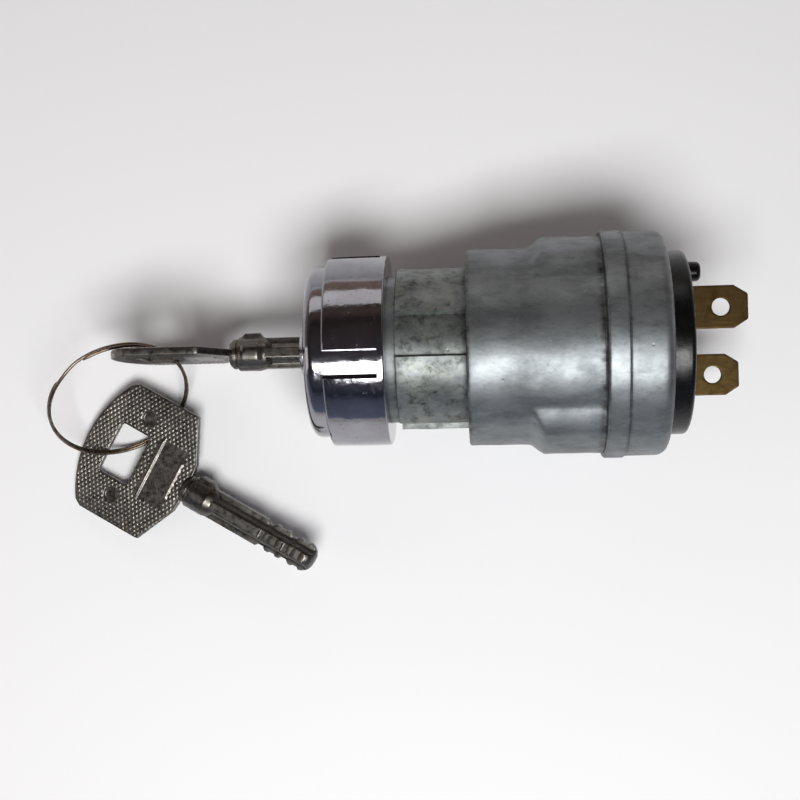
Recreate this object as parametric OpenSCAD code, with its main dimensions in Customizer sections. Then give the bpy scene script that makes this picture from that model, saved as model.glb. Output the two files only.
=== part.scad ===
// Two-terminal selector key switch: die-cast housing, panel ring nut, lock plug with a
// cruciform key, rotary contact bridge, moulded terminal base, and a spare key on a split ring.
// Millimetres. X runs along the switch axis towards the terminals, Z is up.
// The origin is on the axis, in the plane of the neck shoulder that meets the panel.

/* [Panel neck and nut] */
// Radius over the thread crests of the front stub
thread_r = 14; // [12:0.1:16]
// Thread pitch
thread_pitch = 1.5; // [1:0.25:2]
// Length of the stub in front of the panel seat
stub_len = 14.2; // [10:0.1:20]
// Radius over the four neck lands
neck_r = 15.5; // [14.5:0.1:18]
// Length of the neck behind the panel seat
neck_len = 13.1; // [8:0.1:20]
// Radius of the ring nut
nut_r = 18.25; // [16:0.05:22]
// Width of each spanner slot in the nut
nut_slot_w = 4.8; // [3:0.1:7]
// Angle of the first spanner slot about the axis
nut_turn = 9.3; // [0:0.1:90]

/* [Housing] */
// Radius of the round body behind the neck
body_r = 18.75; // [17:0.05:22]
// Radius over the two cast lobes
lobe_r = 20.8; // [19:0.1:24]
// Radius of the widest band of the rim
rim_r = 21.65; // [20:0.05:26]
// Distance from the panel seat to the front of the rim
rim_x = 38.15; // [30:0.05:50]
// Distance from the panel seat to the crimped rear edge
rim_end = 50; // [42:0.1:60]

/* [Terminals] */
// Width of a spade terminal
tab_w = 8; // [4.8:0.1:9.5]
// Thickness of a spade terminal
tab_t = 0.8; // [0.5:0.1:1.2]
// Distance from the panel seat to the terminal tips
tab_end = 65.2; // [58:0.1:75]
// Sideways distance of each terminal from the axis
tab_y = 6.2; // [4:0.1:9]
// Vertical distance of each terminal from the axis
tab_z = 5.5; // [3:0.1:8]
// Radius of the hole in each terminal
tab_hole_r = 1.65; // [1:0.05:2.5]

/* [Keys] */
// Half width of the key bow
bow_w = 14.2; // [10:0.1:18]
// Length of the key bow
bow_len = 23.6; // [18:0.1:30]
// Thickness of the key bow
bow_t = 1.4; // [1:0.1:2.5]
// Half width of the cruciform key shaft
shaft_r = 3; // [2:0.05:4]
// Length from the bow to the key tip
shaft_len = 30.2; // [20:0.1:40]
// Angle of the lock plug about the axis at rest
plug_lean = -2; // [-5:0.5:5]

/* [Split ring] */
// Radius of the split ring to the middle of its wire
ring_r = 13.8; // [10:0.1:20]
// Radius of the split ring's wire
wire_r = 0.34; // [0.3:0.01:0.8]

/* [Hidden] */
$fn = 64;
eps = 0.1;
fit = 0.05;
nut_front = -16.87;
nut_rear = -1.8;
nut_step = -13.1;
ring_front_r = 16.5;
corner_r = 4;
roll_r = 3.6;
channel_r = 14.3;
channel_w = 31;
channel_turn = -9;
thread_depth = 0.75;
plug_r = 5.6;
nose_r = 4.9;
nose_front = -18.95;
flange_r = 7.4;
flange_front = -14.25;
flange_rear = -12.35;
keyway_end = -1.2;
sleeve_end = 8.6;
sleeve_r = 9.4;
chamber_r = 11.95;
detent_x = 19;
detent_r = 11.05;
ball_r = 1.5;
on_turn = 60;
seat_r = 19.5;
base_front = 39.9;
base_rear = 54;
lip_x = 48.9;
base_r = 17.4;
contact_turn = atan2(-tab_y, tab_z);
contact_r = sqrt(tab_y * tab_y + tab_z * tab_z);
bridge_x = 35.6;
bow_x = -32.2;
wafer_count = 6;
wafer_first = -10.2;
wafer_step = 1.5;
wafer_t = 0.8;
spare_at = [-45.08, -26.64, -11.68];
spare_turn = [4, -3.36, -30.02];
ring_at = [-56.5, -8.3, -3.97];
ring_turn = [0, 50.2, -56.55];
zinc = [0.72, 0.72, 0.73];
chrome_c = [0.8, 0.8, 0.82];
brass_c = [0.72, 0.58, 0.3];
steel_c = [0.62, 0.62, 0.64];
black_c = [0.06, 0.06, 0.06];
nickel_c = [0.62, 0.6, 0.56];

// A rod along X between two stations
module rod(r, x0, x1) {
    translate([x0, 0, 0])
        rotate([0, 90, 0])
            cylinder(r = r, h = x1 - x0);
}

// A tube along X between two stations
module tube(r_out, r_in, x0, x1) {
    difference() {
        rod(r_out, x0, x1);
        rod(r_in, x0 - eps, x1 + eps);
    }
}

// A profile of radius and station turned about X
module spin() {
    rotate([0, 90, 0])
        rotate_extrude()
            children();
}

// The same profile over a sector of w degrees, centred c degrees from the top
module sector(c, w) {
    rotate([c + 180 - w / 2, 0, 0])
        rotate([0, 90, 0])
            rotate_extrude(angle = w)
                children();
}

// A box from its low corner to its high corner
module box(lo, hi) {
    translate(lo)
        cube(hi - lo);
}

// Children moved to a distance r from the axis at angle a from the top
module polar(a, r) {
    rotate([a, 0, 0])
        translate([0, 0, r])
            children();
}

// Stub with thread crests drawn as rings, and a plain relief next to the seat
module threaded_stub() {
    turns = floor((stub_len - 2.2) / thread_pitch);
    rod(thread_r, -2, eps);
    rod(thread_r - thread_depth, -stub_len, 0);
    for (i = [0:turns - 1])
        spin()
            translate([thread_r - thread_depth - eps, -stub_len + 0.2 + i * thread_pitch])
                polygon([[0, 0], [eps, 0], [thread_depth + eps, 0.5],
                    [thread_depth + eps, 0.8], [eps, thread_pitch - 0.2], [0, thread_pitch - 0.2]]);
}

// One cast lobe with ramped sides and a sloped front, on the +Y side
module lobe() {
    foot = body_r * [sin(51), cos(51)];
    top = lobe_r * [sin(34), cos(34)];
    low = foot - 0.4 * (top - foot);
    high = top + 0.6 * (top - foot);
    intersection() {
        spin()
            polygon([[body_r - 1, 23.2], [lobe_r, 27.4], [lobe_r, rim_x + 1], [body_r - 1, rim_x + 1]]);
        translate([20, 0, 0])
            rotate([0, 90, 0])
                linear_extrude(rim_x - 19.5)
                    polygon([[0, 5], [-low[0], low[1]], [-high[0], high[1]], [-8, 30], [8, 30],
                        [high[0], high[1]], [low[0], low[1]]]);
    }
}

// Outer form of the rim with its rolled rear edge
module rim_form() {
    spin() {
        translate([0, rim_x])
            square([rim_r - 0.3, 3.9]);
        translate([0, rim_x + 0.3])
            square([rim_r, 3.4]);
        square([rim_r - 0.35, rim_end - roll_r]);
        square([rim_r - 0.35 - roll_r, rim_end]);
        translate([rim_r - 0.35 - roll_r, rim_end - roll_r])
            circle(roll_r);
    }
}

module housing() {
    color(zinc)
        difference() {
            union() {
                threaded_stub();
                difference() {
                    rod(neck_r, 0, neck_len + 1);
                    for (k = [0:3])
                        sector(channel_turn + 90 * k, channel_w)
                            translate([channel_r, -1])
                                square([4, neck_len + 3]);
                }
                spin()
                    polygon([[0, neck_len], [body_r - 0.45, neck_len], [body_r, neck_len + 0.45],
                        [body_r, rim_x + 1], [0, rim_x + 1]]);
                lobe();
                rotate([180, 0, 0])
                    lobe();
                intersection() {
                    rim_form();
                    rod(rim_r + 1, rim_x, rim_end + 1);
                }
            }
            rod(flange_r + fit, -stub_len - eps, flange_rear + fit);
            rod(sleeve_r + 0.03, flange_rear + 0.03, sleeve_end + eps);
            rod(chamber_r, sleeve_end, 31 + eps);
            rod(16.5, 31, 39.1 + eps);
            rod(seat_r, 39.1, lip_x);
            rod(base_r + fit, lip_x - eps, rim_end + 1);
            rod(detent_r + ball_r + 0.15, detent_x - ball_r - 0.15, detent_x + ball_r + 0.15);
            for (a = [0, on_turn, 180, 180 + on_turn])
                polar(a, 5)
                    translate([detent_x, 0, 0])
                        cylinder(r = ball_r + 0.4, h = detent_r + ball_r + 0.6 - 5);
        }
}

module bezel_nut() {
    color(chrome_c)
        difference() {
            union() {
                spin() {
                    translate([0, nut_front + corner_r])
                        square([ring_front_r, 2]);
                    translate([0, nut_front])
                        square([ring_front_r - corner_r, corner_r + 1]);
                    translate([ring_front_r - corner_r, nut_front + corner_r])
                        circle(corner_r);
                }
                spin()
                    polygon([[0, nut_step], [nut_r - 0.5, nut_step], [nut_r - 0.15, nut_step + 0.15],
                        [nut_r, nut_step + 0.5], [nut_r, nut_rear - 0.3], [nut_r - 0.3, nut_rear],
                        [0, nut_rear]]);
            }
            rod(thread_r + 0.06, -15.7, nut_rear + eps);
            rod(6.3, nut_front - eps, 0);
            for (k = [0:3])
                polar(nut_turn + 90 * k, ring_front_r)
                    translate([nut_front - eps, -nut_slot_w / 2, 0])
                        cube([nut_rear - nut_front - 1.3, nut_slot_w, 4]);
        }
}

// Cross-shaped section of the key shaft, grown by g
module cross(g) {
    square([2 * (shaft_r + g), 1.9 + 2 * g], center = true);
    square([1.9 + 2 * g, 2 * (shaft_r + g)], center = true);
    circle(2.2 + g);
}

module lock_plug() {
    color(steel_c)
        rotate([plug_lean, 0, 0])
            difference() {
                union() {
                    spin()
                        polygon([[0, nose_front], [nose_r - 0.6, nose_front], [nose_r, nose_front + 0.6],
                            [nose_r, flange_front], [flange_r, flange_front], [flange_r, flange_rear],
                            [plug_r, flange_rear], [plug_r, 10.6], [0, 10.6]]);
                    box([10.5, -3, -1.5], [16.5, 3, 1.5]);
                }
                translate([nose_front - eps, 0, 0])
                    rotate([0, 90, 0])
                        linear_extrude(keyway_end - nose_front + eps)
                            cross(0.06);
                for (i = [0:wafer_count - 1])
                    translate([wafer_first + i * wafer_step, 0, 0])
                        cube([wafer_t + 0.1, 7.5, 2 * plug_r + 1], center = true);
                box([wafer_first - 0.7, -0.65, -plug_r - eps], [-1.8, 0.65, -5]);
                difference() {
                    rod(plug_r + 1, -12.05, -11.05);
                    rod(4.95, -12.2, -10.9);
                }
                difference() {
                    rod(plug_r + 1, 8.9, 9.7);
                    rod(5, 8.8, 9.8);
                }
            }
}

module plug_o_ring() {
    color(black_c)
        translate([-11.55, 0, 0])
            rotate([0, 90, 0])
                rotate_extrude()
                    translate([5.3, 0])
                        circle(0.33);
}

module plug_circlip() {
    color(steel_c)
        rotate([plug_lean, 0, 0])
            difference() {
                tube(6.9, 5.05, 8.97, 9.63);
                sector(180, 44)
                    translate([4, 8])
                        square([4, 3]);
            }
}

// One tumbler wafer with a window that clears the key shaft
module wafer(i) {
    color(brass_c)
        rotate([plug_lean, 0, 0])
            translate([wafer_first + i * wafer_step, 0, 0])
                difference() {
                    intersection() {
                        cube([wafer_t, 7.4, 9.8], center = true);
                        rod(5.2, -1, 1);
                    }
                    box([-1, -3.1, -3.45], [1, 3.1, 3.1]);
                }
}

module wafer_spring() {
    color(steel_c)
        rotate([plug_lean, 0, 0])
            box([wafer_first - 0.6, -0.55, -5.35], [-1.9, 0.55, -5.12]);
}

// Pressed-in sleeve that the lock plug turns in
module lock_sleeve() {
    color(brass_c)
        tube(sleeve_r, plug_r + fit, flange_rear + 0.13, sleeve_end);
}

module thrust_washer() {
    color(steel_c)
        tube(11.4, 8, sleeve_end + 0.03, 9.3);
}

module contact_rotor() {
    color(black_c)
        difference() {
            union() {
                rod(chamber_r - fit, 9.4, 24);
                rod(9, 23.9, 33.5);
                for (a = [0, 180])
                    polar(a + 12, 7)
                        rod(1.2, 33.4, 37);
            }
            rod(7.3, 9, 10.7);
            rotate([plug_lean, 0, 0])
                box([10, -3.06, -1.56], [16.8, 3.06, 1.56]);
            for (a = [0, 180])
                polar(a, 5.5)
                    translate([detent_x, 0, 0])
                        cylinder(r = ball_r + fit, h = 8);
            rod(5, 27, 34);
        }
}

module detent_balls() {
    color(steel_c)
        for (a = [0, 180])
            polar(a, detent_r)
                translate([detent_x, 0, 0])
                    sphere(ball_r);
}

// A spring drawn as evenly spaced coils joined along one side
module coil_stack(r, wire, len, coils) {
    pitch = (len - 2 * wire) / (coils - 1);
    for (i = [0:coils - 1])
        translate([0, 0, wire + i * pitch])
            rotate_extrude()
                translate([r, 0])
                    circle(wire);
    translate([r, 0, wire])
        cylinder(r = wire * 0.8, h = len - 2 * wire);
}

module detent_springs() {
    color(steel_c)
        for (a = [0, 180])
            polar(a, 5.55)
                translate([detent_x, 0, 0])
                    coil_stack(1.2, 0.2, 3.9, 6);
}

module bridge_spring() {
    color(steel_c)
        translate([27.05, 0, 0])
            rotate([0, 90, 0])
                coil_stack(4.2, 0.4, bridge_x - 27.1, 6);
}

module contact_bridge() {
    color(brass_c)
        difference() {
            union() {
                rod(10.8, bridge_x, bridge_x + 1);
                for (a = [0, 180])
                    polar(contact_turn - on_turn + a, contact_r)
                        rod(2.1, bridge_x, 38.2);
            }
            for (a = [0, 180])
                polar(a + 12, 7)
                    rod(1.28, bridge_x - 1, bridge_x + 2);
        }
}

// A contact button facing the bridge, with a shank into its terminal
module contact(side) {
    color(nickel_c)
        translate([0, side * tab_y, side * tab_z]) {
            rod(2.4, 38.3, base_front + 0.3);
            rod(1.1, base_front, 43.4);
        }
}

// A spade terminal with a foot that takes the contact shank
module terminal(side) {
    cut_x = 2.6;
    cut_y = 1.7;
    color(brass_c)
        translate([0, side * tab_y, side * tab_z])
            difference() {
                union() {
                    translate([0, 0, -tab_t / 2])
                        linear_extrude(tab_t)
                            polygon([[44, -tab_w / 2], [tab_end - cut_x, -tab_w / 2],
                                [tab_end, cut_y - tab_w / 2], [tab_end, tab_w / 2 - cut_y],
                                [tab_end - cut_x, tab_w / 2], [44, tab_w / 2]]);
                    box([42, -3, -1.6], [44.4, 3, 1.6]);
                }
                translate([tab_end - 5, 0, -1])
                    cylinder(r = tab_hole_r, h = 2);
                rod(1.12, 41.5, 43.6);
            }
}

module base_seal() {
    color(black_c)
        tube(seat_r - 0.1, 16.8, 39.15, base_front - 0.05);
}

module terminal_base() {
    color(black_c)
        difference() {
            union() {
                rod(seat_r - fit, base_front, lip_x - 0.03);
                spin() {
                    translate([0, lip_x - 1])
                        square([base_r, base_rear - lip_x]);
                    translate([0, base_rear - 2])
                        square([base_r - 1, 2]);
                    translate([base_r - 1, base_rear - 1])
                        circle(1);
                }
                translate([0, 13.4, 0]) {
                    rod(1.9, base_rear - 1, base_rear + 2.6);
                    translate([base_rear + 2.6, 0, 0])
                        rotate([0, 90, 0])
                            rotate_extrude()
                                difference() {
                                    union() {
                                        square([1.1, 0.8]);
                                        translate([1.1, 0])
                                            circle(0.8);
                                    }
                                    translate([-3, -3])
                                        square([8, 3]);
                                    translate([-3, -3])
                                        square([3, 8]);
                                }
                }
            }
            for (side = [-1, 1])
                translate([0, side * tab_y, side * tab_z]) {
                    box([43.95, -tab_w / 2 - fit, -tab_t / 2 - fit],
                        [base_rear + 1, tab_w / 2 + fit, tab_t / 2 + fit]);
                    box([41.98, -3 - fit, -1.6 - fit], [44.45, 3 + fit, 1.6 + fit]);
                    rod(1.15, base_front - 1, 42.1);
                    rod(2.45, base_front - 1, base_front + 0.32);
                }
        }
}

// Flat outline of the key bow with its ring slot
module bow_outline() {
    sag = bow_len - 19.2;
    arc_r = (bow_w * bow_w + sag * sag) / (2 * sag);
    difference() {
        intersection() {
            polygon([[-bow_len - 1, bow_w], [-4.4, bow_w], [-0.2, 5.6], [0, 3], [0, -3],
                [-0.2, -5.6], [-4.4, -bow_w], [-bow_len - 1, -bow_w]]);
            translate([arc_r - bow_len, 0])
                circle(arc_r);
        }
        polygon([[-18.2, 4.8], [-17.5, 5.6], [-12.1, 5.6], [-11.5, 5],
            [-11.5, -5], [-12.1, -5.6], [-17.5, -5.6], [-18.2, -4.8]]);
    }
}

// A whole key: bow behind its own origin, shaft along +X, flat faces up and down
module key_form() {
    bit_first = shaft_len - 12.2;
    difference() {
        union() {
            translate([0, 0, -bow_t / 2])
                linear_extrude(bow_t)
                    bow_outline();
            box([-9.2, -6.6, -bow_t / 2 - 0.25], [-8.4, 6.6, bow_t / 2 + 0.25]);
            box([-3.4, -4.2, -bow_t / 2 - 0.25], [-2.8, 4.2, bow_t / 2 + 0.25]);
        }
        for (side = [-1, 1], face = [-1, 1])
            translate([-13.6, side * 8.9, face * bow_t / 2])
                cylinder(r = 1.5, h = 0.7, center = true);
    }
    spin()
        polygon([[0, -0.6], [2.3, -0.6], [2.9, 0], [2.9, 0.7], [3.35, 1], [3.35, 5.2],
            [3, 6.4], [2.6, 7.3], [0, 7.3]]);
    intersection() {
        rod(4.1, 1.6, 5.6);
        union() {
            box([1.6, -1.6, -5], [5.6, 1.6, 0]);
            box([1.6, 0, -1.6], [5.6, 5, 1.6]);
        }
    }
    difference() {
        intersection() {
            translate([6, 0, 0])
                rotate([0, 90, 0])
                    linear_extrude(shaft_len - 6)
                        cross(0);
            spin()
                polygon([[0, 0], [3.2, 0], [3.2, shaft_len - 2.2], [2.6, shaft_len - 0.9],
                    [1.4, shaft_len], [0, shaft_len]]);
        }
        for (i = [0:3], q = [0:3])
            rotate([90 * q, 0, 0])
                translate([bit_first + i * 2.7 + 0.6 * (q % 2), 0, 3 - 0.35 - 0.3 * ((i + q) % 2)])
                    rotate([90, 0, 0])
                        linear_extrude(3, center = true)
                            polygon([[0, 0], [1, 0], [2, 1], [-1, 1]]);
    }
}

module ignition_key() {
    color(nickel_c)
        rotate([plug_lean, 0, 0])
            translate([bow_x, 0, 0])
                rotate([90, 0, 0])
                    key_form();
}

module spare_key() {
    color(nickel_c)
        translate(spare_at)
            rotate(spare_turn)
                key_form();
}

module split_ring() {
    color(nickel_c)
        translate(ring_at)
            rotate(ring_turn)
                for (side = [-1, 1])
                    translate([0, 0, side * 0.3])
                        rotate_extrude()
                            translate([ring_r, 0])
                                circle(wire_r);
}

housing();
bezel_nut();
lock_plug();
plug_o_ring();
plug_circlip();
wafer(0);  // wafer_1
wafer(1);  // wafer_2
wafer(2);  // wafer_3
wafer(3);  // wafer_4
wafer(4);  // wafer_5
wafer(5);  // wafer_6
wafer_spring();
lock_sleeve();
thrust_washer();
contact_rotor();
detent_balls();
detent_springs();
bridge_spring();
contact_bridge();
contact(1);  // feed_contact
contact(-1);  // load_contact
terminal(1);  // feed_terminal
terminal(-1);  // load_terminal
base_seal();
terminal_base();
ignition_key();
spare_key();
split_ring();
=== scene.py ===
import math
import bpy
import numpy as np
from mathutils import Euler, Matrix, Vector


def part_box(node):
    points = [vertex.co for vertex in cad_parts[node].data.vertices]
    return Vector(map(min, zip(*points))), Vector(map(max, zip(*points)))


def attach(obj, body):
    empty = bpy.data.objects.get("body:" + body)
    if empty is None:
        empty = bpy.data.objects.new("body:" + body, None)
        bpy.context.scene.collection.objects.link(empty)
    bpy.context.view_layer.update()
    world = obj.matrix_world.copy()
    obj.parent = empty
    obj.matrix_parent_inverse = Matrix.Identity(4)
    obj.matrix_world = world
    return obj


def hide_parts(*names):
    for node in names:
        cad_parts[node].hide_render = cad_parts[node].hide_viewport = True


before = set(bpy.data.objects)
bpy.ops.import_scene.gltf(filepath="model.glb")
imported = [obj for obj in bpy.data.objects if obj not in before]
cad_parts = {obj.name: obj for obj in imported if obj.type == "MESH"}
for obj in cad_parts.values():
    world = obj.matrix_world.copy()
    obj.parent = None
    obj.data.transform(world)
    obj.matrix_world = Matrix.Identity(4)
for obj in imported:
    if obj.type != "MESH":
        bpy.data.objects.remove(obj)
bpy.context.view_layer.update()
MM = 0.001
TAU = 2 * math.pi


def station(node, end):
    """X of a CAD node's front (0) or rear (1), in mm."""
    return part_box(node)[end][0] / MM


# ---------------------------------------------------------------- materials
def fill_ramp(node, stops):
    """Give a colour ramp node its stops, each a position with a grey or a colour."""
    elements = node.color_ramp.elements
    while len(elements) < len(stops):
        elements.new(0.5)
    for element, (at, color) in zip(elements, stops):
        element.position = at
        element.color = (*color, 1) if isinstance(color, tuple) else (color, color, color, 1)


class Nodes:
    """A Principled material with short helpers for its node tree."""

    def __init__(self, name, **sockets):
        self.mat = bpy.data.materials.new(name)
        self.mat.use_nodes = True
        self.tree = self.mat.node_tree
        self.shader = self.tree.nodes["Principled BSDF"]
        for key, value in sockets.items():
            self.shader.inputs[key.replace("_", " ")].default_value = value
        self.coords = self.tree.nodes.new("ShaderNodeTexCoord").outputs["Object"]
        self.normal = None

    def link(self, a, b):
        self.tree.links.new(a, b)

    def scaled(self, scale):
        node = self.tree.nodes.new("ShaderNodeMapping")
        node.inputs["Scale"].default_value = scale
        self.link(self.coords, node.inputs["Vector"])
        return node.outputs["Vector"]

    def noise(self, scale, detail=4.0, rough=0.55, stretch=None, distort=0.0):
        node = self.tree.nodes.new("ShaderNodeTexNoise")
        node.inputs["Scale"].default_value = scale
        node.inputs["Detail"].default_value = detail
        node.inputs["Roughness"].default_value = rough
        node.inputs["Distortion"].default_value = distort
        where = self.scaled(stretch) if stretch else self.coords
        self.link(where, node.inputs["Vector"])
        return node.outputs["Fac"]

    def cells(self, scale):
        """Distance to the nearest of a scatter of points."""
        node = self.tree.nodes.new("ShaderNodeTexVoronoi")
        node.inputs["Scale"].default_value = scale
        self.link(self.coords, node.inputs["Vector"])
        return node.outputs["Distance"]

    def ramp(self, fac, stops):
        node = self.tree.nodes.new("ShaderNodeValToRGB")
        fill_ramp(node, stops)
        self.link(fac, node.inputs["Fac"])
        return node.outputs["Color"]

    def math(self, kind, a, b):
        node = self.tree.nodes.new("ShaderNodeMath")
        node.operation = kind
        node.use_clamp = kind != "SUBTRACT"
        for socket, value in zip(node.inputs, (a, b)):
            if isinstance(value, (int, float)):
                socket.default_value = value
            else:
                self.link(value, socket)
        return node.outputs[0]

    def mix(self, fac, a, b, blend="MIX"):
        node = self.tree.nodes.new("ShaderNodeMix")
        node.data_type = "RGBA"
        node.blend_type = blend
        # the colour inputs of a Mix node are its seventh and eighth
        for socket, value in ((node.inputs[0], fac), (node.inputs[6], a), (node.inputs[7], b)):
            if isinstance(value, tuple):
                socket.default_value = (*value, 1)
            elif isinstance(value, (int, float)):
                socket.default_value = value
            else:
                self.link(value, socket)
        return node.outputs[2]

    def axis(self, letter):
        node = self.tree.nodes.new("ShaderNodeSeparateXYZ")
        self.link(self.coords, node.inputs[0])
        return node.outputs[letter]

    def band(self, value, low, high, soft):
        """1 between low and high, in metres, with soft ends."""
        node_in = self.tree.nodes.new("ShaderNodeMapRange")
        node_out = self.tree.nodes.new("ShaderNodeMapRange")
        for node, edge in ((node_in, low), (node_out, high)):
            node.inputs["From Min"].default_value = edge - soft
            node.inputs["From Max"].default_value = edge + soft
            self.link(value, node.inputs["Value"])
        return self.math("SUBTRACT", node_in.outputs[0], node_out.outputs[0])

    def to(self, socket, output):
        self.link(output, self.shader.inputs[socket])

    def bump(self, height, strength, distance):
        """Add a bump, on top of any there already."""
        node = self.tree.nodes.new("ShaderNodeBump")
        node.inputs["Strength"].default_value = strength
        node.inputs["Distance"].default_value = distance
        self.link(height, node.inputs["Height"])
        if self.normal:
            self.link(self.normal, node.inputs["Normal"])
        self.normal = node.outputs["Normal"]
        self.link(self.normal, self.shader.inputs["Normal"])


def cast_zinc():
    m = Nodes("cast_zinc", Metallic=0.85)
    blotch = m.noise(110, 7, 0.62)
    fine = m.noise(1500, 3, 0.6)
    clean = m.ramp(blotch, [(0.3, (0.14, 0.151, 0.155)), (0.5, (0.19, 0.205, 0.21)),
                            (0.7, (0.24, 0.258, 0.265))])
    stain = m.ramp(m.noise(420, 8, 0.72, distort=0.4),
                   [(0.36, (0.03, 0.036, 0.03)), (0.54, (0.21, 0.226, 0.205))])
    # the neck lands are the most stained
    neck = m.band(m.axis("X"), -0.0005, 0.0133, 0.0004)
    stained = m.math("MULTIPLY", neck, m.ramp(m.noise(260, 6, 0.7), [(0.4, 1.0), (0.62, 0.15)]))
    color = m.mix(stained, clean, stain)
    speck = m.ramp(m.noise(700, 3, 0.6), [(0.3, 0.6), (0.4, 1.0)])
    color = m.mix(0.35, color, speck, "MULTIPLY")
    grime = m.ramp(m.noise(190, 7, 0.7, stretch=(0.6, 1.3, 1.3)), [(0.38, 0.5), (0.54, 1.0)])
    color = m.mix(0.6, color, grime, "MULTIPLY")
    # dirt and painted shade in the steps round the casting, darkening these creases, as X and half
    # width in metres
    streaks = m.noise(420, 6, 0.7, stretch=(0.5, 1, 1))
    for crease_x, wide in ((0.0131, 0.0005), (0.03775, 0.0007), (0.0421, 0.00025)):
        line = m.band(m.axis("X"), crease_x - wide, crease_x + wide, 0.0004)
        dirt_and_crease_shade = m.math("MULTIPLY", line, m.ramp(streaks, [(0.36, 1.0), (0.62, 0.0)]))
        # each band paints shade into a concave step, mixed with streaks of dirt
        color = m.mix(dirt_and_crease_shade, color, (0.035, 0.036, 0.032))
    m.to("Base Color", color)
    m.to("Roughness", m.ramp(blotch, [(0.3, 0.5), (0.7, 0.4)]))
    m.bump(fine, 0.25, 0.00005)
    m.bump(m.noise(260, 3, 0.5), 0.25, 0.00014)
    pits = m.ramp(m.cells(330), [(0.03, 0.0), (0.1, 1.0)])
    m.bump(pits, 0.3, 0.00012)
    return m.mat


def chrome():
    m = Nodes("nut_chrome", Metallic=1.0)
    haze = m.noise(90, 5, 0.6)
    fleck = m.ramp(m.noise(1600, 4, 0.7), [(0.62, 1.0), (0.7, 0.35)])
    tone = m.ramp(haze, [(0.3, (0.23, 0.22, 0.235)), (0.7, (0.34, 0.345, 0.375))])
    m.to("Base Color", m.mix(0.8, tone, fleck, "MULTIPLY"))
    m.to("Roughness", m.ramp(m.noise(700, 6, 0.7), [(0.35, 0.07), (0.6, 0.12), (0.72, 0.32)]))
    m.bump(m.noise(260, 4, 0.55), 0.4, 0.00016)
    m.bump(m.ramp(m.cells(900), [(0.03, 0.0), (0.12, 1.0)]), 0.12, 0.00005)
    return m.mat


def plated(name, low, high, rough, grime=0.25):
    m = Nodes(name, Metallic=1.0)
    tone = m.noise(260, 6, 0.65)
    dirt = m.ramp(m.noise(700, 5, 0.7), [(0.36, grime), (0.55, 1.0)])
    m.to("Base Color", m.mix(0.9, m.ramp(tone, [(0.3, low), (0.7, high)]), dirt, "MULTIPLY"))
    m.to("Roughness", m.ramp(m.noise(900, 4, 0.6), [(0.3, rough * 0.7), (0.7, rough * 1.5)]))
    m.bump(m.noise(1400, 4, 0.6, stretch=(0.35, 1, 1)), 0.25, 0.00005)
    return m.mat


def brass(name, low, high, rough):
    m = Nodes(name, Metallic=1.0)
    tarnish = m.noise(330, 7, 0.7, distort=0.6)
    base = m.ramp(tarnish, [(0.3, low), (0.55, high), (0.8, tuple(1.25 * c for c in high))])
    streak = m.ramp(m.noise(500, 5, 0.65, stretch=(0.25, 2.2, 1)), [(0.3, 0.7), (0.7, 1.0)])
    m.to("Base Color", m.mix(0.8, base, streak, "MULTIPLY"))
    m.to("Roughness", m.ramp(tarnish, [(0.3, rough * 1.3), (0.7, rough * 0.8)]))
    m.bump(m.noise(900, 5, 0.6, stretch=(0.3, 2, 1)), 0.3, 0.00006)
    return m.mat


def moulded(name, color, rough):
    m = Nodes(name, Metallic=0.0, Specular_IOR_Level=0.28)
    dark, light = tuple(0.6 * c for c in color), tuple(1.5 * c for c in color)
    m.to("Base Color", m.ramp(m.noise(200, 5, 0.6), [(0.3, dark), (0.7, light)]))
    m.to("Roughness", m.ramp(m.noise(500, 6, 0.7), [(0.3, rough * 0.75), (0.7, rough * 1.35)]))
    m.bump(m.noise(800, 4, 0.6), 0.25, 0.00008)
    m.bump(m.noise(160, 3, 0.5), 0.3, 0.0002)
    return m.mat


ZINC = cast_zinc()
CHROME = chrome()
KEY = plated("key_nickel", (0.11, 0.103, 0.092), (0.17, 0.16, 0.145), 0.32, 0.75)
RING = plated("ring_steel", (0.13, 0.09, 0.06), (0.26, 0.21, 0.165), 0.25, 0.5)
PLUG = plated("plug_plate", (0.4, 0.4, 0.4), (0.62, 0.62, 0.62), 0.2)
STEEL = plated("spring_steel", (0.3, 0.31, 0.33), (0.5, 0.51, 0.53), 0.28)
TAB = brass("tab_brass", (0.03, 0.018, 0.006), (0.082, 0.052, 0.02), 0.38)
WAFER = brass("wafer_brass", (0.4, 0.26, 0.1), (0.62, 0.44, 0.18), 0.3)
SILVER = plated("contact_silver", (0.62, 0.6, 0.57), (0.8, 0.79, 0.76), 0.25, 0.6)
PHENOLIC = moulded("base_phenolic", (0.002, 0.002, 0.0022), 0.26)
ROTOR = moulded("rotor_plastic", (0.05, 0.05, 0.055), 0.5)
RUBBER = moulded("seal_rubber", (0.02, 0.02, 0.02), 0.75)

# the CAD nodes shown as they are, all of them inside or nearly so
CARRIED = {
    "lock_sleeve": WAFER,
    "lock_plug": PLUG, "plug_o_ring": RUBBER, "plug_circlip": STEEL, "wafer_spring": STEEL,
    "thrust_washer": STEEL, "contact_rotor": ROTOR, "detent_balls": STEEL,
    "detent_springs": STEEL, "bridge_spring": STEEL, "contact_bridge": WAFER,
    "feed_contact": SILVER, "load_contact": SILVER, "base_seal": RUBBER,
}
CARRIED.update({f"wafer_{i}": WAFER for i in range(1, 7)})
for node, material in CARRIED.items():
    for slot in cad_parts[node].material_slots:
        slot.material = material


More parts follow.
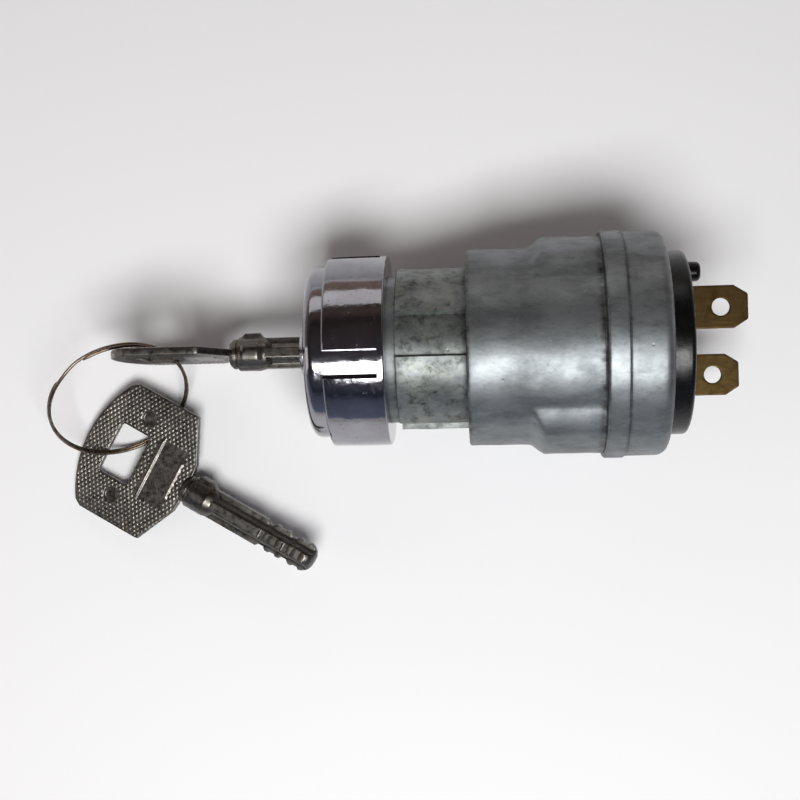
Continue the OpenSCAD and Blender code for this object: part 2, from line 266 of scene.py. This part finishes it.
def piece(name, verts, faces, material, body, node, matrix=None, sharp=32):
    """A smooth mesh, given in mm, that rides on a body and stands for a CAD node."""
    points = np.asarray(verts, float) * MM
    if matrix is not None:
        r = np.array(matrix.to_3x3())
        points = points @ r.T + np.array(matrix.translation)
    mesh = bpy.data.meshes.new(name)
    mesh.from_pydata(points.tolist(), [], [list(map(int, f)) for f in faces])
    mesh.validate()
    mesh.polygons.foreach_set("use_smooth", [True] * len(mesh.polygons))
    mesh.set_sharp_from_angle(angle=math.radians(sharp))
    mesh.materials.append(material)
    obj = bpy.data.objects.new(name, mesh)
    bpy.context.scene.collection.objects.link(obj)
    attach(obj, body)
    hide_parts(node)
    return obj


def grid_faces(rows, cols, wrap_rows, flip=False):
    """Quads over a grid of points that closes round its columns, and round its rows if asked."""
    faces = []
    for i in range(rows if wrap_rows else rows - 1):
        j = (i + 1) % rows
        for a in range(cols):
            b = (a + 1) % cols
            quad = [i * cols + a, i * cols + b, j * cols + b, j * cols + a]
            faces.append(quad[::-1] if flip else quad)
    return faces


def rounded(corners, closed=True, steps=5):
    """Points of an outline whose corners (x, y, radius) are rounded."""
    out = []
    n = len(corners)
    for i, (x, y, rad) in enumerate(corners):
        p = Vector((x, y))
        if rad <= 0 or (not closed and i in (0, n - 1)):
            out.append((x, y))
            continue
        a = Vector(corners[i - 1][:2]) - p
        b = Vector(corners[(i + 1) % n][:2]) - p
        half = a.angle(b) / 2
        cut = min(rad / math.tan(half), a.length * 0.49, b.length * 0.49)
        rad = cut * math.tan(half)
        middle = p + (a.normalized() + b.normalized()).normalized() * (rad / math.sin(half))
        start, end = p + a.normalized() * cut - middle, p + b.normalized() * cut - middle
        turn = start.angle_signed(end)
        for k in range(steps + 1):
            t = -turn * k / steps
            c, s = math.cos(t), math.sin(t)
            out.append((middle.x + c * start.x - s * start.y,
                        middle.y + s * start.x + c * start.y))
    return out


def dense(points, longest, closed=True):
    """The same outline with its long runs divided.

    longest is a length, or a function that gives one for the two ends of a run.
    """
    out = []
    n = len(points)
    for i in range(n if closed else n - 1):
        p, q = points[i], points[(i + 1) % n]
        limit = longest(p, q) if callable(longest) else longest
        dx, dy = q[0] - p[0], q[1] - p[1]
        parts = max(1, math.ceil(math.hypot(dx, dy) / limit))
        out += [(p[0] + dx * k / parts, p[1] + dy * k / parts) for k in range(parts)]
    if not closed:
        out.append(points[-1])
    return out


def turned(profile, angles, shape=None, closed=True):
    """Points and faces of a profile (x, r) turned about X, its radius changed by shape."""
    along, radii = np.array(profile, float).T
    x, t = np.meshgrid(along, angles, indexing="ij")
    r = np.meshgrid(radii, angles, indexing="ij")[0]
    if shape:
        x, r = shape(x, r, t)
    verts = np.stack([x, -r * np.sin(t), r * np.cos(t)], -1).reshape(-1, 3)
    faces = grid_faces(len(profile), len(angles), closed)
    if not closed:
        cols = len(angles)
        last = (len(profile) - 1) * cols
        faces.append(list(range(cols))[::-1])
        faces.append([last + k for k in range(cols)])
    return verts, faces


def smooth(value, low, high):
    """0 below low, 1 above high, and a soft step between them."""
    t = np.clip((value - low) / (high - low), 0, 1)
    return t * t * (3 - 2 * t)


def from_centre(angle, centre):
    """Signed difference in degrees of an angle in radians and a centre in degrees."""
    return (np.degrees(angle) - centre + 180) % 360 - 180


def round_angles(step, extra=()):
    """Angles round a full turn in radians, from a step and extra ones in degrees."""
    values = set(np.round(np.arange(0, 360, step), 4))
    values |= {round(v % 360, 4) for v in extra}
    return np.radians(sorted(values))


# ---------------------------------------------------------------- housing
def make_housing():
    front = station("housing", 0)
    neck_end, rim, end = 13.1, 38.15, 50.0
    stub_rear = -2.0
    stub_r, land_r, body_r = 13.1, 15.5, 18.75
    recess_r, bore_r, chamber_r, seat_r, pocket_r = 7.45, 5.65, 11.95, 16.5, 19.5
    recess_floor, sleeve_end, chamber_end, seat_end, lip = -12.3, 8.6, 31, 39.1, 48.9
    outer = [(front, stub_r, 0.2), (-2.1, 13.3, 0), (stub_rear, 14.0, 0.1), (0, 14.0, 0.15),
             (0, land_r, 0.2), (neck_end, land_r, 0.12), (neck_end, body_r, 0.5),
             (rim, body_r, 0.5), (rim, 21.55, 0.45), (41.9, 21.65, 0.2), (42.0, 21.28, 0.06),
             (42.15, 21.22, 0.05), (42.3, 21.32, 0.1), (end, 21.3, 3.6), (end, 17.5, 0.15),
             (lip, 17.46, 0), (lip, pocket_r, 0), (seat_end, pocket_r, 0), (seat_end, seat_r, 0),
             (chamber_end, seat_r, 0), (chamber_end, chamber_r, 0), (sleeve_end, chamber_r, 0),
             (sleeve_end, bore_r, 0), (recess_floor, bore_r, 0), (recess_floor, recess_r, 0),
             (front, recess_r, 0.1)]
    thread_pitch, thread_depth = 1.5, 0.75
    first_channel, channel_floor = -9, 14.25
    land_edges = (15.1, 15.35, 15.65, 15.9)
    lobe_r, lobe_foot, lobe_front = 20.8, 18.2, 23.6

    def spacing(p, q):
        on_thread = max(p[0], q[0]) < stub_rear and p[1] > 12
        return 0.2 if on_thread else 0.6

    def shape(x, r, t):
        # helical thread on the stub
        phase = (x / thread_pitch - t / TAU) % 1.0
        crest = np.clip(1.35 - 3.2 * np.abs(phase - 0.5), 0, 1) * thread_depth
        ends = smooth(x, front + 0.1, front + 1.2) * (1 - smooth(x, -2.9, -2.2))
        r = r + crest * (ends * (r > 12.9) * (x < stub_rear))
        # channels between the neck lands
        for k in range(4):
            off = np.abs(from_centre(t, first_channel + 90 * k))
            floor = channel_floor + 1.3 * smooth(off, land_edges[0], land_edges[-1])
            inside = (x > -0.3) & (x < neck_end + 0.02) & (r > 13.9) & (r < 15.6)
            r = np.where(inside, np.minimum(r, floor), r)
        # cast lobes on both sides
        for side in (90, -90):
            off = np.abs(from_centre(t, side))
            flank = lobe_r - (lobe_r - lobe_foot) * np.clip((off - 34) / 22, 0, 1) ** 1.15
            rise = 18.0 + (x - lobe_front) * (lobe_r - 18.0) / 3.6
            lobe = np.minimum(flank, rise)
            lobe = np.where(lobe > 20.4, lobe_r - 0.4 * np.exp(-(lobe - 20.4) / 0.4), lobe)
            soft = 0.35
            high = (0.5 * (r + lobe + np.sqrt((r - lobe) ** 2 + soft * soft))
                    - 0.5 * soft * np.exp(-np.abs(r - lobe)))
            r = np.where((x > 20) & (x < rim + 0.01) & (r > 18), np.maximum(r, high), r)
        # the casting isn't perfectly round
        wave = 0.035 * np.sin(3 * t + 0.4 * x) + 0.025 * np.sin(7 * t - 0.9 * x + 1.0)
        r = r + np.where((r > 15.0) & (x > 0.5) & (x < 49.6), wave, 0)
        return x, r

    edges = [first_channel + 90 * k + s * d for k in range(4) for s in (-1, 1) for d in land_edges]
    verts, faces = turned(dense(rounded(outer), spacing), round_angles(2, edges), shape)
    piece("housing_casting", verts, faces, ZINC, "housing", "housing")


# ---------------------------------------------------------------- ring nut
def make_nut():
    front, rear = station("bezel_nut", 0), station("bezel_nut", 1)
    step, back = front + 3.77, rear - 1.3
    opening_r, thread_r, dome_r, nut_r = 6.3, 14.06, 16.5, 18.25
    lip = front + 1.17
    outer = [(front, opening_r, 0.3), (front, dome_r, 3.9), (step, dome_r, 0.12), (step, 18.2, 0.55),
             (back, nut_r, 0), (rear - 1.24, nut_r, 0), (rear, 18.22, 0.35), (rear, thread_r, 0.3),
             (lip, thread_r, 0), (lip, opening_r, 0.2)]
    first_slot = 9.3
    slot_edges = (7.5, 7.8, 8.1, 8.4, 8.75)

    def shape(x, r, t):
        # spanner slots, open at the front
        for k in range(4):
            off = from_centre(t, first_slot + 90 * k)
            across = np.abs(18.0 * np.sin(np.radians(off)))
            floor = dome_r + 1.9 * smooth(across, 2.35, 2.75)
            inside = (x < back + 0.02) & (r > 16.4) & (np.abs(off) < 40)
            r = np.where(inside, np.minimum(r, floor), r)
        crown = 0.06 * np.sin(np.pi * np.clip((x - step) / (rear - step), 0, 1))
        return x, r + np.where(r > 18.1, crown, 0)

    edges = [first_slot + 90 * k + s * d for k in range(4) for s in (-1, 1) for d in slot_edges]
    verts, faces = turned(dense(rounded(outer, steps=9), 0.6), round_angles(1.5, edges), shape)
    piece("ring_nut", verts, faces, CHROME, "bezel_nut", "bezel_nut")


# ---------------------------------------------------------------- terminal base and tabs
def make_base():
    rear = 54.0
    outer = [(39.9, 0.3, 0), (39.9, 19.4, 0.3), (48.85, 19.4, 0.2), (48.87, 17.4, 0),
             (rear, 17.4, 1.1), (rear, 15.6, 0.1), (rear - 0.18, 15.4, 0.1), (rear - 0.18, 0.3, 0)]
    profile = dense(rounded(outer, closed=False), 1.5, False)
    verts, faces = turned(profile, round_angles(3), closed=False)
    piece("base_moulding", verts, faces, PHENOLIC, "housing", "terminal_base")
    peg_end, peg_y = station("terminal_base", 1), 13.4
    peg = [(rear - 0.8, 2.4, 0), (rear + 0.05, 2.3, 0.5), (rear + 0.5, 1.9, 0.3),
           (peg_end, 1.85, 0.9), (peg_end, 0.2, 0)]
    verts, faces = turned(rounded(peg, closed=False), round_angles(10), closed=False)
    place = Matrix.Translation(Vector((0, peg_y, 0)) * MM)
    piece("base_peg", verts, faces, PHENOLIC, "housing", "terminal_base", place)


def reach(outline, centre, angle):
    """Distance from centre to a closed outline along an angle."""
    d = Vector((math.cos(angle), math.sin(angle)))
    best = 0.0
    for (x0, y0), (x1, y1) in zip(outline, outline[1:] + outline[:1]):
        a, e = Vector((x0, y0)) - centre, Vector((x1 - x0, y1 - y0))
        den = d.x * e.y - d.y * e.x
        if abs(den) < 1e-12:
            continue
        s = (a.x * e.y - a.y * e.x) / den
        u = (a.x * d.y - a.y * d.x) / den
        if s > 0 and -1e-6 <= u <= 1 + 1e-6:
            best = max(best, s)
    return best


def plate(outline, hole, centre, thick, bevel, inner_rows, relief=None, step=1.0):
    """A flat plate with a hole, as one closed grid round the hole, its faces raised by relief."""
    centre = Vector(centre)
    wanted = list(np.radians(np.arange(0, 360, step)))
    for x, y in outline + hole:
        wanted.append(math.atan2(y - centre.y, x - centre.x) % TAU)
    angles = sorted(set(np.round(wanted, 4)))
    near = np.array([reach(hole, centre, a) for a in angles])
    far = np.array([reach(outline, centre, a) for a in angles])
    along = [bevel * k for k in (0.0, 0.12, 0.35, 0.7, 1.0)]
    drop = [bevel - math.sqrt(max(0.0, bevel ** 2 - (bevel - d) ** 2)) for d in along]
    c, s = np.cos(angles), np.sin(angles)
    half = thick / 2

    def surface(sign):
        """Rows from the hole to the rim, over the top (1) or the underside (-1)."""
        made = []
        for d, fall in zip(along, drop):
            made.append((near + d, half - fall))
        for k in range(1, inner_rows):
            made.append((near + bevel + (far - near - 2 * bevel) * k / inner_rows, half))
        for d, fall in reversed(list(zip(along, drop))):
            made.append((far - d, half - fall))
        out = []
        for rho, z in made:
            x, y = centre.x + rho * c, centre.y + rho * s
            edge = np.minimum(rho - near, far - rho)
            lift = relief(x, y, edge) if relief else 0 * x
            out.append(np.stack([x, y, sign * (z + lift)], -1))
        return out

    rows = surface(1) + surface(-1)[::-1]
    verts = np.concatenate(rows)
    return verts, grid_faces(len(rows), len(angles), True, flip=True)


def circle(x, y, r, n=48):
    return [(x + r * math.cos(TAU * k / n), y + r * math.sin(TAU * k / n)) for k in range(n)]


def make_terminals():
    root, half_width, thick = 46, 4, 0.8
    hole_back, hole_r = 5, 1.65
    foot = [(42, 0.5), (42, 3), (44.4, 3), (44.4, 0.5)]
    for node in ("feed_terminal", "load_terminal"):
        low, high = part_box(node)
        end = high[0] / MM
        middle = (low + high) / 2 / MM
        outline = [(root, -half_width), (end - 2.6, -half_width), (end - 0.15, -2.45), (end, -2.15),
                   (end, 2.15), (end - 0.15, 2.45), (end - 2.6, half_width), (root, half_width)]
        hole = circle(end - hole_back, 0, hole_r)
        verts, faces = plate(outline, hole, (end - hole_back, 0), thick, 0.16, 10, step=2.5)
        place = Matrix.Translation(Vector((0, middle.y, middle.z)) * MM)
        piece(node + "_blade", verts, faces, TAB, "housing", node, place)
        verts, faces = turned(foot, round_angles(15), closed=False)
        piece(node + "_foot", verts, faces, TAB, "housing", node, place)


# ---------------------------------------------------------------- keys
# length, half width and thickness of the bow, and the shaft's length, in mm
BOW_LEN, BOW_W, BOW_T, SHAFT = 23.6, 14.2, 1.4, 30.2


def bow_outline():
    """The bow's outline, with a rear edge that is an arc."""
    sag = BOW_LEN - 19.2
    arc = (BOW_W ** 2 + sag ** 2) / (2 * sag)
    rear = []
    for k in range(25):
        y = -BOW_W + 0.9 + (2 * BOW_W - 1.8) * k / 24
        rear.append((arc - BOW_LEN - math.sqrt(arc ** 2 - y ** 2), y))
    return [(0, -3), (-0.2, -5.4), (-4.3, -BOW_W + 0.15), (-4.9, -BOW_W), (-18.3, -BOW_W)] + rear + [
        (-18.3, BOW_W), (-4.9, BOW_W), (-4.3, BOW_W - 0.15), (-0.2, 5.4), (0, 3)]


def bow_slot():
    return [(-18.2, 4.7), (-18.05, 5.2), (-17.5, 5.55), (-12.1, 5.55), (-11.6, 5.3), (-11.5, 4.8),
            (-11.5, 0), (-11.5, -4.8), (-11.6, -5.3), (-12.1, -5.55), (-17.5, -5.55),
            (-18.05, -5.2), (-18.2, -4.7), (-18.3, 0)]


def knurl(x, y, edge):
    """Diamond knurl on the bow, with bars, a plain panel and two dimples."""
    pitch = 0.95
    u, v = (x + 0.62 * y) / pitch, (x - 0.62 * y) / pitch
    tooth = 1 - np.maximum(np.abs(u % 1 - 0.5), np.abs(v % 1 - 0.5)) * 2
    lift = 0.12 * np.clip(tooth * 1.5, 0, 1)
    panel = smooth(x, -8.5, -8.2) * (1 - smooth(x, -3.2, -2.9)) * (1 - smooth(np.abs(y), 6.4, 6.8))
    lift = lift * (1 - panel) + panel * 0.02 * np.sin(9 * x) * np.sin(7 * y)
    for at, wide, long in ((-8.8, 0.4, 6.6), (-3.1, 0.3, 4.2)):
        bar = ((1 - smooth(np.abs(x - at), wide - 0.12, wide + 0.12))
               * (1 - smooth(np.abs(y), long - 0.2, long + 0.1)))
        lift = np.maximum(lift, 0.22 * bar)
    lift = lift * smooth(x, -26, -25) * (1 - smooth(x, -1.2, -0.6))
    for side in (-1, 1):
        away = np.hypot(x + 13.6, y - side * 8.9)
        dimple = lift * smooth(away, 1.5, 1.9) - 0.35 * (1 - smooth(away, 1.1, 1.5))
        lift = np.where(away < 1.9, dimple, lift)
    return lift * smooth(edge, 0.15, 0.5)


def shaft_form():
    """The cruciform shaft with its bitting notches."""
    half, rib, core = 3.0, 0.95, 2.2
    # sparse up to the notches, dense over them, and fairly dense over the tip
    stations = sorted(set(np.round(np.concatenate([
        np.arange(6.0, 17.5, 0.6), np.arange(17.5, 28.4, 0.12),
        np.arange(28.4, SHAFT + 0.01, 0.15)]), 3)))
    rib_edges = (14.0, 17.0, 17.57, 18.4, 25.0, 26.2, 30)
    extra = [90 * q + s * d for q in range(4) for s in (-1, 1) for d in rib_edges]
    angles = round_angles(5, extra)

    def shape(x, r, t):
        c, s = np.abs(np.cos(t)) + 1e-6, np.abs(np.sin(t)) + 1e-6
        cross = np.maximum(np.minimum(half / c, rib / s), np.minimum(half / s, rib / c))
        r = np.minimum(np.maximum(cross, core), 3.1)
        # four notches on each of the four ribs
        for q in range(4):
            off = from_centre(t, 90 * q)
            for i in range(4):
                at = SHAFT - 12.2 + i * 2.7 + 0.6 * (q % 2)
                floor = half - 0.35 - 0.3 * ((i + q) % 2)
                away = np.maximum(np.maximum(at - x, x - at - 1.0), 0)
                limit = (floor + away) / np.maximum(np.cos(np.radians(off)), 0.3)
                r = np.where(np.abs(off) < 21, np.minimum(r, np.maximum(limit, core)), r)
        tip = np.interp(x, [0, 28.0, 29.0, 29.7, 30.0, SHAFT], [3.2, 3.2, 2.75, 2.2, 1.7, 1.1])
        return x, np.minimum(r, tip)

    return turned([(v, 1.0) for v in stations], angles, shape, closed=False)


def collar_form():
    """The round collar between the bow and the shaft."""
    outer = [(-0.8, 1.2, 0), (-0.8, 2.2, 0.2), (-0.1, 2.9, 0.2), (0.55, 2.9, 0.2),
             (0.75, 2.6, 0.1), (1.0, 3.3, 0.25), (5.1, 3.35, 0.6), (6.5, 3.0, 0.6),
             (7.6, 2.2, 0.5), (7.7, 1.2, 0)]
    profile = dense(rounded(outer, closed=False, steps=6), 0.35, False)

    def shape(x, r, t):
        # the raised ears on the collar
        for centre in (180, -90):
            off = np.abs(from_centre(t, centre))
            along = smooth(x, 1.5, 2.2) * (1 - smooth(x, 4.9, 5.9))
            r = r + 0.75 * along * (1 - smooth(off, 18, 30))
        return x, r

    return turned(profile, round_angles(5), shape, closed=False)


def make_key(name, body, node, place):
    in_slot = (-15.0, 0)
    verts, faces = plate(bow_outline(), bow_slot(), in_slot, BOW_T, 0.18, 64, knurl, step=0.9)
    piece(name + "_bow", verts, faces, KEY, body, node, place, sharp=50)
    verts, faces = collar_form()
    piece(name + "_collar", verts, faces, KEY, body, node, place)
    verts, faces = shaft_form()
    piece(name + "_shaft", verts, faces, KEY, body, node, place)


def placed(at, turn):
    """A placement from a point in mm and turns about X, Y and Z in degrees."""
    rotation = Euler([math.radians(a) for a in turn], "XYZ").to_matrix().to_4x4()
    return Matrix.Translation(Vector(at) * MM) @ rotation


# ---------------------------------------------------------------- split ring
def make_ring():
    """Two turns of flattened wire that cross over once beside their two ends."""
    radius, gap = 13.8, 0.3
    half_wide, half_thick = 0.33, 0.31
    cross_over, start = math.radians(26), math.radians(205)
    steps, sides = 420, 14
    phi = np.linspace(0, 2 * TAU - cross_over * 1.15, steps)
    climb = smooth(phi, TAU - cross_over, TAU - 0.1 * cross_over)
    z = -gap + 2 * gap * climb
    section = [(half_wide * math.cos(TAU * k / sides), half_thick * math.sin(TAU * k / sides))
               for k in range(sides)]
    verts = []
    for p, h in zip(phi, z):
        near_end = min(1.0, 0.55 + 6 * min(p, phi[-1] - p))
        for a, b in section:
            rho = radius + a * near_end
            verts.append((rho * math.cos(p + start), rho * math.sin(p + start), h + b * near_end))
    faces = grid_faces(steps, sides, False)
    faces.append(list(range(sides))[::-1])
    faces.append([(steps - 1) * sides + k for k in range(sides)])
    place = placed([-56.5, -8.3, -3.97], [0, 50.2, -56.55])
    piece("ring_wire", verts, faces, RING, "split_ring", "split_ring", place)


make_housing()
make_nut()
make_base()
make_terminals()
# the plug, and so the key in it, stands 2 degrees off the vertical
lean = Euler((math.radians(-2), 0, 0)).to_matrix().to_4x4()
make_key("switch_key", "ignition_key", "ignition_key",
         lean @ placed([-32.2, 0, 0], [90, 0, 0]))
make_key("loose_key", "spare_key", "spare_key",
         placed([-45.08, -26.64, -11.68], [4, -3.36, -30.02]))
make_ring()

# ---------------------------------------------------------------- floor, light and camera
# The camera looks straight down at the table. The part's tilt and roll on it, the place of its
# origin and the camera's height, in mm, come from a fit to the photo.
TILT, ROLL = math.radians(4.0), math.radians(1.4)
ORIGIN_Y, HEIGHT, CAMERA_HEIGHT = 9.65, 19.15, 275.0
PHOTO_PX, FOCAL_PX, SENSOR = 800, 1326, 36.0
from_table = (Matrix.Rotation(ROLL, 3, "Z") @ Matrix.Rotation(-TILT, 3, "Y")).transposed()
offset = Vector((0, ORIGIN_Y, HEIGHT))


def on_table(point):
    """A point given in mm over the table, in the model's frame in metres."""
    return from_table @ (Vector(point) - offset) * MM


floor_mesh = bpy.data.meshes.new("floor")
side = 3000
corners = ((-side, -side, 0), (side, -side, 0), (side, side, 0), (-side, side, 0))
floor_mesh.from_pydata([on_table(p) for p in corners], [], [(0, 1, 2, 3)])
floor = bpy.data.objects.new("floor", floor_mesh)
bpy.context.scene.collection.objects.link(floor)
pale = Nodes("pale_floor", Roughness=0.9)
# beyond the lights' reach the floor glows softly, painted light that turns it into a pale backdrop
far = pale.tree.nodes.new("ShaderNodeVectorMath")
far.operation = "LENGTH"
pale.link(pale.coords, far.inputs[0])
away = pale.tree.nodes.new("ShaderNodeMapRange")
away.inputs["From Min"].default_value = 0.15
away.inputs["From Max"].default_value = 0.75
away.interpolation_type = "SMOOTHSTEP"
pale.link(far.outputs["Value"], away.inputs["Value"])
tone = pale.ramp(pale.noise(3, 2), [(0.3, (0.87, 0.87, 0.87)), (0.7, (0.9, 0.9, 0.9))])
pale.to("Base Color", pale.mix(away.outputs[0], tone, (0.1, 0.1, 0.1)))
pale.shader.inputs["Emission Strength"].default_value = 1.0
pale.to("Emission Color", pale.mix(away.outputs[0], (0.0, 0.0, 0.0), (0.74, 0.74, 0.74)))
floor_mesh.materials.append(pale.mat)


def make_world():
    """A tinted gradient lights the part, and the camera sees a plain pale background."""
    world = bpy.data.worlds.new("studio")
    bpy.context.scene.world = world
    world.use_nodes = True
    nodes, link = world.node_tree.nodes, world.node_tree.links.new
    back = nodes["Background"]
    back.inputs["Strength"].default_value = 0.6
    coords = nodes.new("ShaderNodeTexCoord")
    split = nodes.new("ShaderNodeSeparateXYZ")
    link(coords.outputs["Generated"], split.inputs[0])
    # greys from straight down to straight up, a little blue
    sky = nodes.new("ShaderNodeValToRGB")
    greys = [(0.0, 0.5), (0.45, 0.3), (0.55, 0.1), (0.7, 0.16), (0.8, 0.06), (1.0, 0.12)]
    fill_ramp(sky, [(at, (grey, grey, grey * 1.05)) for at, grey in greys])
    link(split.outputs["Z"], sky.inputs["Fac"])
    # cool towards -Y, warm towards +Y
    shift = nodes.new("ShaderNodeMapRange")
    shift.inputs["From Min"].default_value = -0.8
    shift.inputs["From Max"].default_value = 0.8
    link(split.outputs["Y"], shift.inputs["Value"])
    warm = nodes.new("ShaderNodeValToRGB")
    fill_ramp(warm, [(0.0, (0.75, 0.85, 1.15)), (1.0, (1.25, 0.92, 0.72))])
    link(shift.outputs[0], warm.inputs["Fac"])
    tinted = nodes.new("ShaderNodeMix")
    tinted.data_type = "RGBA"
    tinted.blend_type = "MULTIPLY"
    tinted.inputs[0].default_value = 1.0
    link(sky.outputs["Color"], tinted.inputs[6])
    link(warm.outputs["Color"], tinted.inputs[7])
    link(tinted.outputs[2], back.inputs["Color"])
    # the backdrop that shows above the floor's edge is as pale as the floor
    plain = nodes.new("ShaderNodeBackground")
    plain.inputs["Color"].default_value = (0.8, 0.8, 0.8, 1)
    rays = nodes.new("ShaderNodeLightPath")
    choose = nodes.new("ShaderNodeMixShader")
    link(rays.outputs["Is Camera Ray"], choose.inputs["Fac"])
    link(back.outputs["Background"], choose.inputs[1])
    link(plain.outputs["Background"], choose.inputs[2])
    link(choose.outputs["Shader"], nodes["World Output"].inputs["Surface"])


def softbox(name, at, target, size, power, tint=(1, 1, 1)):
    """A rectangular light, its place, target and size in mm over the table."""
    light = bpy.data.lights.new(name, "AREA")
    light.shape = "RECTANGLE"
    light.size, light.size_y = size[0] * MM, size[1] * MM
    light.energy = power
    light.color = tint
    obj = bpy.data.objects.new(name, light)
    obj.location = on_table(at)
    aim = on_table(target) - obj.location
    obj.rotation_euler = aim.to_track_quat("-Z", "Y").to_euler()
    bpy.context.scene.collection.objects.link(obj)


make_world()
softbox("key_light", (30, -170, 430), (10, 0, 10), (260, 170), 2.05)
softbox("fill_light", (-80, 520, 260), (0, 0, 10), (500, 200), 0.3, (0.95, 0.98, 1.0))
softbox("left_light", (-480, -60, 200), (0, 0, 10), (220, 300), 0.25, (1.0, 0.93, 0.86))

camera = bpy.data.cameras.new("camera")
camera.sensor_width = SENSOR
camera.lens = FOCAL_PX / PHOTO_PX * SENSOR
camera.clip_start, camera.clip_end = 0.01, 10
view = bpy.data.objects.new("camera", camera)
view.matrix_world = Matrix.Translation(on_table((0, 0, CAMERA_HEIGHT))) @ from_table.to_4x4()
bpy.context.scene.collection.objects.link(view)
bpy.context.scene.camera = view
bpy.context.scene.view_settings.view_transform = "Standard"
